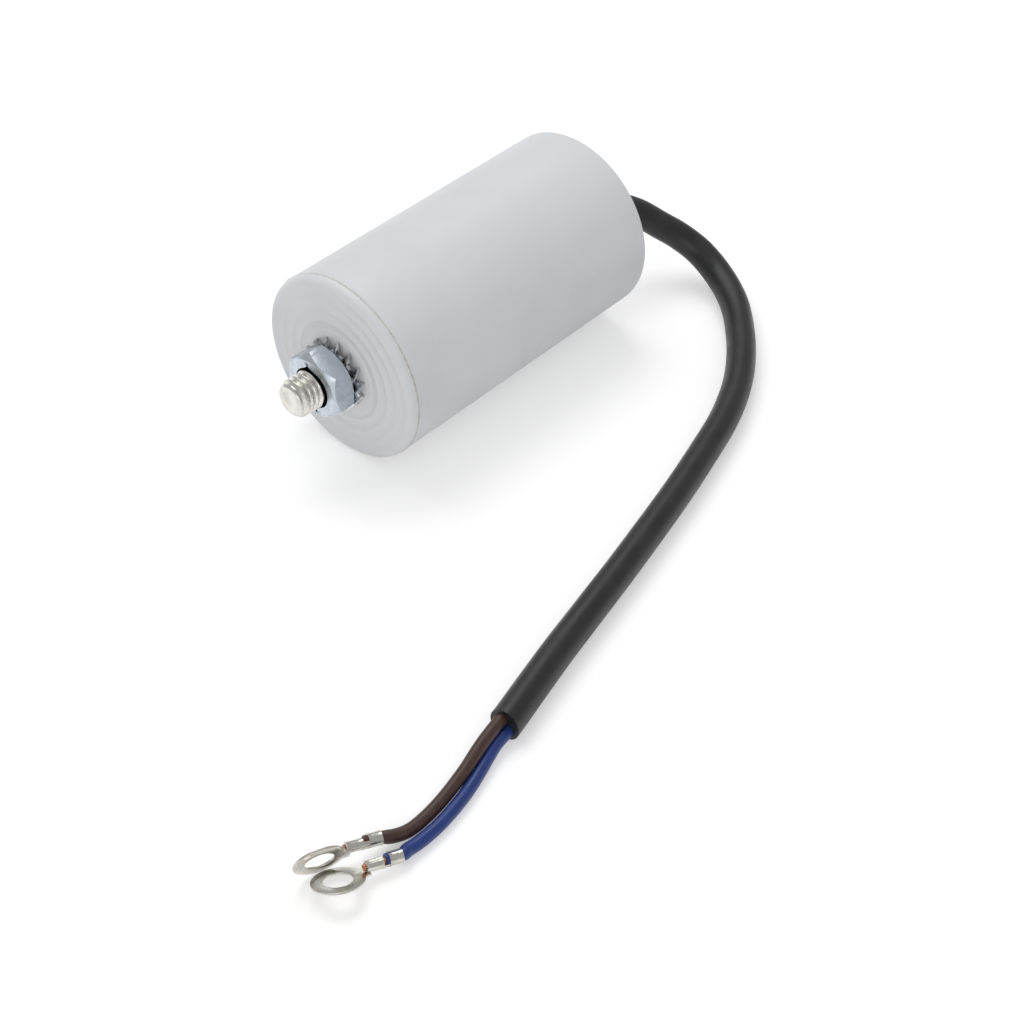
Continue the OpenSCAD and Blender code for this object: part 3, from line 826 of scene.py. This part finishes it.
# %% Case
def make_case():
    bm = bmesh.new()
    turned(bm, case_outline(), 288)
    for v in bm.verts:
        x = (v.co.x - end_x) / MM
        offset = Vector((0, v.co.y, v.co.z - axis_z))
        r = offset.length / MM
        if r > can_r - 0.02 and FLASH_X - 0.02 < x < FLASH_X + 0.2:
            place = v.co / MM
            broken = max(0, noise.noise(place * 0.9) + 0.25)
            ragged = noise.noise(place * 4.5)
            v.co += offset.normalized() * MM * (0.03 + 0.16 * broken * (0.6 + ragged))
            v.co.x += 0.1 * MM * noise.noise(place * 1.6 + Vector((9, 0, 0)))
    return bm


case_piece = finished("white_case", make_case(), white_plastic, "case", 40)
case_piece.data.materials.append(flash_plastic)
for face in case_piece.data.polygons:
    x = (face.center.x - end_x) / MM
    r = (Vector((0, face.center.y, face.center.z - axis_z)).length) / MM
    if r > can_r - 0.05 and FLASH_X - 0.05 < x < FLASH_X + 0.28:
        face.material_index = 1

# %% [markdown]
# ## Lid
# The other end is closed by a disc with a tapered collar that the lead comes out of. It is
# turned from one outline too, with its edges rounded.

# %% Lid
def lid_outline():
    back = (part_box("lid")[0][0] - end_x) / MM
    mouth = (collar_x - end_x) / MM
    top = can_len - 1
    hole = SHEATH_DIAMETER / 2 / MM
    points = [(back, hole), (back, bore_r)]
    points += arc(top - 0.3, bore_r - 0.3, 0.3, 90, 0, 3)
    points += arc(top + 0.8, 6.5 + 0.8, 0.8, 180, 262, 4)
    points += arc(mouth - 0.5, 4.5 - 0.5, 0.5, 75, 0, 4)
    points += arc(mouth - 0.2, hole + 0.2, 0.2, 0, -90, 2)
    return points


def make_lid():
    bm = bmesh.new()
    turned(bm, lid_outline(), 128)
    return bm


lid_piece = finished("closing_lid", make_lid(), lid_plastic, "lid", 40)

# %% [markdown]
# ## Stud
# A rolled thread is a profile one pitch long, carried round the axis while it moves along it.
# That is a spin with a step forward at each turn, and the turns are then welded to each other.
# The blank was chamfered before rolling, so near the tip no vertex may stand outside a cone.

# %% Thread profile
PITCH = 1.25
THREAD_R = 4.0
ROOT_R = 3.27
TURN_STEPS = 56
TIP_X = (stud_tip_x - end_x) / MM
THREAD_PROFILE = [
    (0.0, ROOT_R), (0.1, ROOT_R - 0.03), (0.22, ROOT_R), (0.62, 3.9), (0.68, 3.97), (0.75, THREAD_R),
    (0.84, THREAD_R), (0.91, 3.97), (0.97, 3.9), (PITCH, ROOT_R),
]


def tip_cone(x):
    """Largest radius of the stud near its tip: a steep chamfer, then the run-out of the thread."""
    steep = 3.15 + (x - TIP_X)
    slow = 3.62 + 0.48 * (x - TIP_X - 0.5)
    return min(steep, slow, THREAD_R)


# %% Stud
def make_stud():
    bm = bmesh.new()
    start = TIP_X - 1.5 * PITCH
    turns = 12
    points = [at_end((start + x) * MM, r * MM, 0) for x, r in THREAD_PROFILE]
    bmesh.ops.spin(
        bm, geom=chain(bm, points), cent=at_end(0, 0, 0), axis=(-1, 0, 0),
        dvec=(PITCH * MM / TURN_STEPS, 0, 0), angle=2 * pi * turns, steps=TURN_STEPS * turns,
        use_merge=False, use_duplicate=False,
    )
    bmesh.ops.remove_doubles(bm, verts=bm.verts, dist=0.004 * MM)
    for x, outside in ((TIP_X, (-1, 0, 0)), (0.4, (1, 0, 0))):
        bmesh.ops.bisect_plane(
            bm, geom=bm.verts[:] + bm.edges[:] + bm.faces[:], dist=1e-7,
            plane_co=at_end(x * MM, 0, 0), plane_no=outside, clear_outer=True,
        )
    for v in bm.verts:
        offset = Vector((0, v.co.y, v.co.z - axis_z))
        limit = tip_cone((v.co.x - end_x) / MM) * MM
        if offset.length > limit:
            v.co -= offset.normalized() * (offset.length - limit)
    for x in (TIP_X, 0.4):
        loop = [
            e for e in bm.edges
            if e.is_boundary and abs(sum(v.co.x for v in e.verts) / 2 - end_x - x * MM) < 0.05 * MM
        ]
        bmesh.ops.holes_fill(bm, edges=loop, sides=0)
    return bm


stud_piece = finished("threaded_stud", make_stud(), stud_finish, "stud", 30)

# %% [markdown]
# ## Nut
# A hexagon nut is cut from bar: the cone on each face trims the six corners into curved edges.
# Here a ring of vertices follows the hexagon, and each one is set back from the face by as much
# as the cone takes at its radius. Rings for the hole, the faces and the flats are bridged.

# %% Nut
NUT_AF = 13
NUT_TURN = radians(97.9)
NUT_SEGMENTS = 144
nut_front = (nut_front_x - end_x) / MM
nut_back = (nut_back_x - end_x) / MM


def hexagon_r(angle):
    """Radius of the hexagon in the direction of an angle from one of its corners."""
    return NUT_AF / 2 / cos((angle % (pi / 3)) - pi / 6)


def nut_ring(bm, radius_at, x_at):
    verts = []
    for i in range(NUT_SEGMENTS):
        angle = 2 * pi * i / NUT_SEGMENTS
        r = radius_at(angle)
        verts.append(bm.verts.new(at_end(x_at(r) * MM, r * MM, pi / 2 - NUT_TURN - angle)))
    for i in range(NUT_SEGMENTS):
        bm.edges.new((verts[i - 1], verts[i]))
    return verts


def make_nut():
    bm = bmesh.new()
    face_r, back_r = 6.2, 6.3
    front_cone = 0.9
    back_cone = tan(radians(30))
    rings = [
        nut_ring(bm, lambda a: 4.05, lambda r: nut_back + 0.02),
        nut_ring(bm, lambda a: 4.05, lambda r: nut_front + 0.3),
        nut_ring(bm, lambda a: 4.38, lambda r: nut_front),
        nut_ring(bm, lambda a: face_r, lambda r: nut_front),
        nut_ring(bm, hexagon_r, lambda r: nut_front + front_cone * max(0, r - face_r)),
        nut_ring(bm, hexagon_r, lambda r: nut_back - back_cone * max(0, r - back_r)),
        nut_ring(bm, lambda a: back_r, lambda r: nut_back),
    ]
    bridged_rings(bm, rings + rings[:1])
    bmesh.ops.recalc_face_normals(bm, faces=bm.faces)
    bm.normal_update()
    crisp = [e for e in bm.edges if e.calc_face_angle(0) > radians(25)]
    bmesh.ops.bevel(
        bm, geom=crisp, offset=0.09 * MM, segments=3, profile=0.5, material=-1,
        affect="EDGES", clamp_overlap=True,
    )
    return bm


nut_piece = finished("thin_nut", make_nut(), nut_finish, "nut", 25)

# %% [markdown]
# ## Lock washer
# The washer is a flat ring with teeth cut outwards, and each tooth is twisted about its own
# length so that its corners bite into the nut and the plastic. One tooth is a small grid whose
# rows turn more and more from root to tip. It is given its thickness, bevelled, and set round
# the ring by a loop.

# %% Lock washer
WASHER_HOLE_R, WASHER_RING_R, WASHER_R, WASHER_T = 4.2, 5.6, 7.5, 0.8
TOOTH_COUNT, TOOTH_W, TOOTH_TWIST = 14, 2.3, 45
WASHER_TURN = radians(11)
washer_mid = nut_back / 2


def tooth_mesh():
    bm = bmesh.new()
    rows = bmesh.ops.create_grid(bm, x_segments=8, y_segments=4, size=0.5)["verts"]
    for v in rows:
        t = v.co.x + 0.5
        r = WASHER_RING_R - 0.35 + t * (WASHER_R - WASHER_RING_R + 0.35)
        width = TOOTH_W * (0.62 + 0.38 * t)
        twist = radians(-TOOTH_TWIST) * min(1, t * 1.35)
        across = v.co.y * width
        v.co = Vector((r, across * cos(twist), across * sin(twist)))
    bmesh.ops.solidify(bm, geom=bm.faces[:], thickness=WASHER_T)
    bmesh.ops.recalc_face_normals(bm, faces=bm.faces)
    middle = WASHER_T / 2
    centre = sum((v.co for v in bm.verts), Vector()) / len(bm.verts)
    bmesh.ops.translate(bm, vec=(0, -centre.y, -centre.z), verts=bm.verts)
    bm.normal_update()
    crisp = [e for e in bm.edges if e.calc_face_angle(0) > radians(50)]
    bmesh.ops.bevel(bm, geom=crisp, offset=0.05, segments=2, profile=0.5, material=-1, affect="EDGES")
    mesh = bpy.data.meshes.new("tooth")
    bm.to_mesh(mesh)
    bm.free()
    return mesh


def make_washer():
    bm = bmesh.new()
    half = WASHER_T / 2
    outline = [
        (washer_mid - half, WASHER_HOLE_R), (washer_mid - half, WASHER_RING_R - 0.08),
        (washer_mid - half + 0.08, WASHER_RING_R), (washer_mid + half - 0.08, WASHER_RING_R),
        (washer_mid + half, WASHER_RING_R - 0.08), (washer_mid + half, WASHER_HOLE_R),
    ]
    turned(bm, outline, 112)
    tooth = tooth_mesh()
    for i in range(TOOTH_COUNT):
        turn = WASHER_TURN + 2 * pi * i / TOOTH_COUNT
        before = set(bm.verts)
        bm.from_mesh(tooth)
        new = [v for v in bm.verts if v not in before]
        lay_down = Matrix(((0, 0, 1), (0, 1, 0), (-1, 0, 0))).to_4x4()
        place = Matrix.Translation(at_end(washer_mid * MM, 0, 0)) @ lay_down
        place = place @ Matrix.Rotation(turn, 4, "Z") @ Matrix.Scale(MM, 4)
        bmesh.ops.transform(bm, matrix=place, verts=new)
    bpy.data.meshes.remove(tooth)
    return bm


washer_piece = finished(
    "serrated_washer", make_washer(), washer_finish, "lock_washer", 30, False
)

# %% [markdown]
# ## Inside
# The roll, its tube, the sprayed layers, the solder joints, the resin and the copper keep the
# shape of the solids, which is right as it is. They only get their finishes.

# %% Finishes for the inner solids
INNER_FINISHES = {
    "winding": film_finish,
    "winding_core": tube_finish,
    "spray_layer_far": spray_finish,
    "spray_layer_near": spray_finish,
    "solder_joint_brown": solder_finish,
    "solder_joint_blue": solder_finish,
    "potting": resin_finish,
    "conductor_brown": copper_finish,
    "conductor_blue": copper_finish,
}
for name, finish in INNER_FINISHES.items():
    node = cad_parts[name]
    node.data.materials.clear()
    node.data.materials.append(finish)
print("finished inner nodes:", len(INNER_FINISHES))

# %% [markdown]
# ## Floor and light
# The floor is white and stays white for the camera and in reflections, but takes the soft shadow
# of the part. A broad lamp above and a fainter one in front light the part at a plain level.

# %% Floor
def make_floor():
    bm = bmesh.new()
    bmesh.ops.create_grid(bm, x_segments=1, y_segments=1, size=4)
    bmesh.ops.translate(bm, vec=(0, 0, -0.02 * MM), verts=bm.verts)
    mesh = bpy.data.meshes.new("floor")
    bm.to_mesh(mesh)
    bm.free()
    material, tree, shader = start_material("floor white")
    shader.inputs["Base Color"].default_value = (0.9, 0.9, 0.9, 1)
    shader.inputs["Roughness"].default_value = 0.9
    shader.inputs["Specular IOR Level"].default_value = 0.0
    shader.inputs["Emission Color"].default_value = (1, 1, 1, 1)
    rays = add(tree, "ShaderNodeLightPath")
    seen = add(tree, "ShaderNodeMath", operation="MAXIMUM")
    glow = add(tree, "ShaderNodeMath", operation="MULTIPLY")
    glow.inputs[1].default_value = 0.35
    join(
        tree,
        (rays.outputs["Is Camera Ray"], seen.inputs[0]),
        (rays.outputs["Is Glossy Ray"], seen.inputs[1]),
        (seen.outputs["Value"], glow.inputs[0]),
        (glow.outputs["Value"], shader.inputs["Emission Strength"]),
    )
    mesh.materials.append(material)
    floor = bpy.data.objects.new("floor", mesh)
    bpy.context.collection.objects.link(floor)


make_floor()

# %% World and lamps
def make_world():
    world = bpy.data.worlds.new("studio")
    world.use_nodes = True
    tree = world.node_tree
    background = tree.nodes["Background"]
    background.inputs["Color"].default_value = (1, 1, 1, 1)
    rays = add(tree, "ShaderNodeLightPath")
    seen = add(tree, "ShaderNodeMath", operation="MAXIMUM")
    level = add(tree, "ShaderNodeMapRange")
    level.inputs["To Min"].default_value = 0.5
    level.inputs["To Max"].default_value = 1.0
    join(
        tree,
        (rays.outputs["Is Camera Ray"], seen.inputs[0]),
        (rays.outputs["Is Transmission Ray"], seen.inputs[1]),
        (seen.outputs["Value"], level.inputs["Value"]),
        (level.outputs["Result"], background.inputs["Strength"]),
    )
    bpy.context.scene.world = world


def lamp(name, place, size, power):
    light = bpy.data.lights.new(name, "AREA")
    light.shape = "RECTANGLE"
    light.size, light.size_y = size
    light.energy = power
    holder = bpy.data.objects.new(name, light)
    holder.location = place
    aim = Vector((-0.02, -0.03, 0.02)) - Vector(place)
    holder.rotation_euler = aim.to_track_quat("-Z", "Y").to_euler()
    bpy.context.collection.objects.link(holder)


make_world()
lamp("broad lamp", (0.15, 0.35, 0.75), (0.7, 0.5), 2.6)
lamp("front lamp", (-0.65, -0.45, 0.35), (0.5, 0.4), 1.0)
bpy.context.scene.view_settings.view_transform = "Standard"
